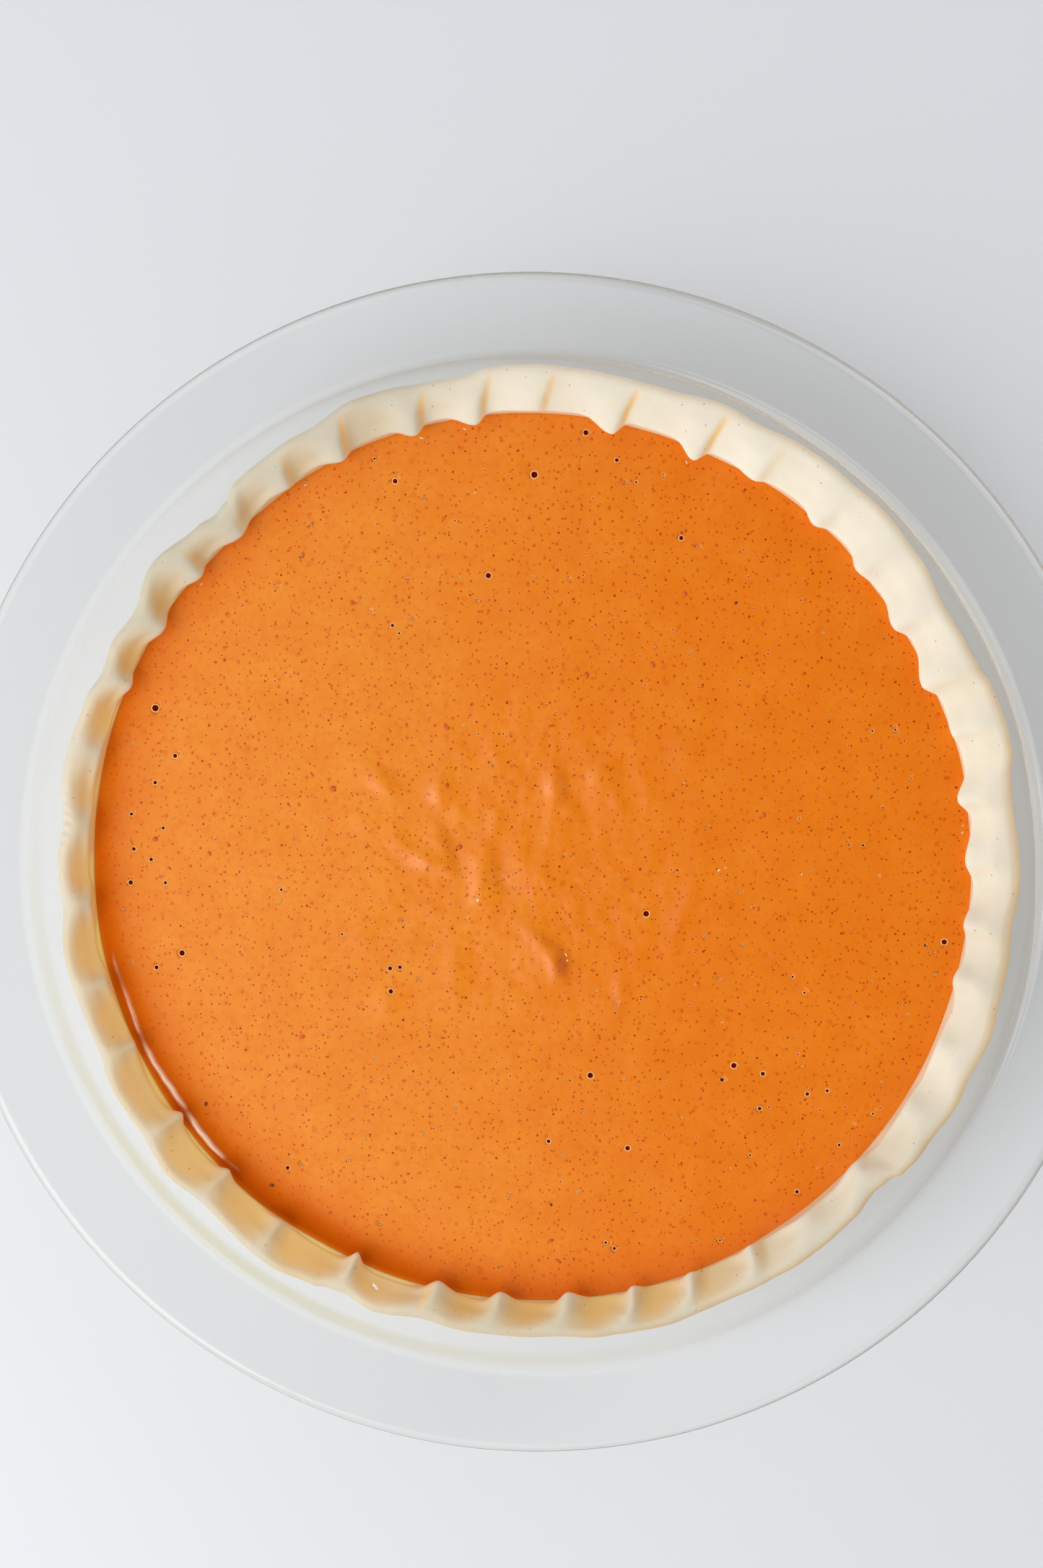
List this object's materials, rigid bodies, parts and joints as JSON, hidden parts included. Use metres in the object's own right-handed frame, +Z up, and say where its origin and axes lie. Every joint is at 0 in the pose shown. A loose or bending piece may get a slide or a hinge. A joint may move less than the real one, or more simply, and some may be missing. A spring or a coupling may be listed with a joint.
{
  "type": "pumpkin pie",
  "caption": "Unbaked pumpkin pie: smooth spiced custard poured into a raw hand-crimped pastry shell, in a round clear glass pie dish with a wide flat flange.",
  "frame": {"origin": "middle of the underside of the dish's flat base, on the surface that the dish stands on", "axes": "+Z up, out of the open top of the dish; +X to the right and +Y to the back in the straight-down view that the pie is usually shown in"},
  "size_m": [0.267, 0.267, 0.039],
  "materials": {
    "glass": "clear pressed glass, smooth and glossy",
    "dough": "raw butter pastry, pale cream, soft matte with a faint sheen of fat",
    "custard": "liquid pumpkin custard, orange, softly glossy, with fine spice specks and small air bubbles"
  },
  "bodies": {
    "root": {"dish": "glass", "crust": "dough", "filling": "custard"}
  },
  "joints": []
}
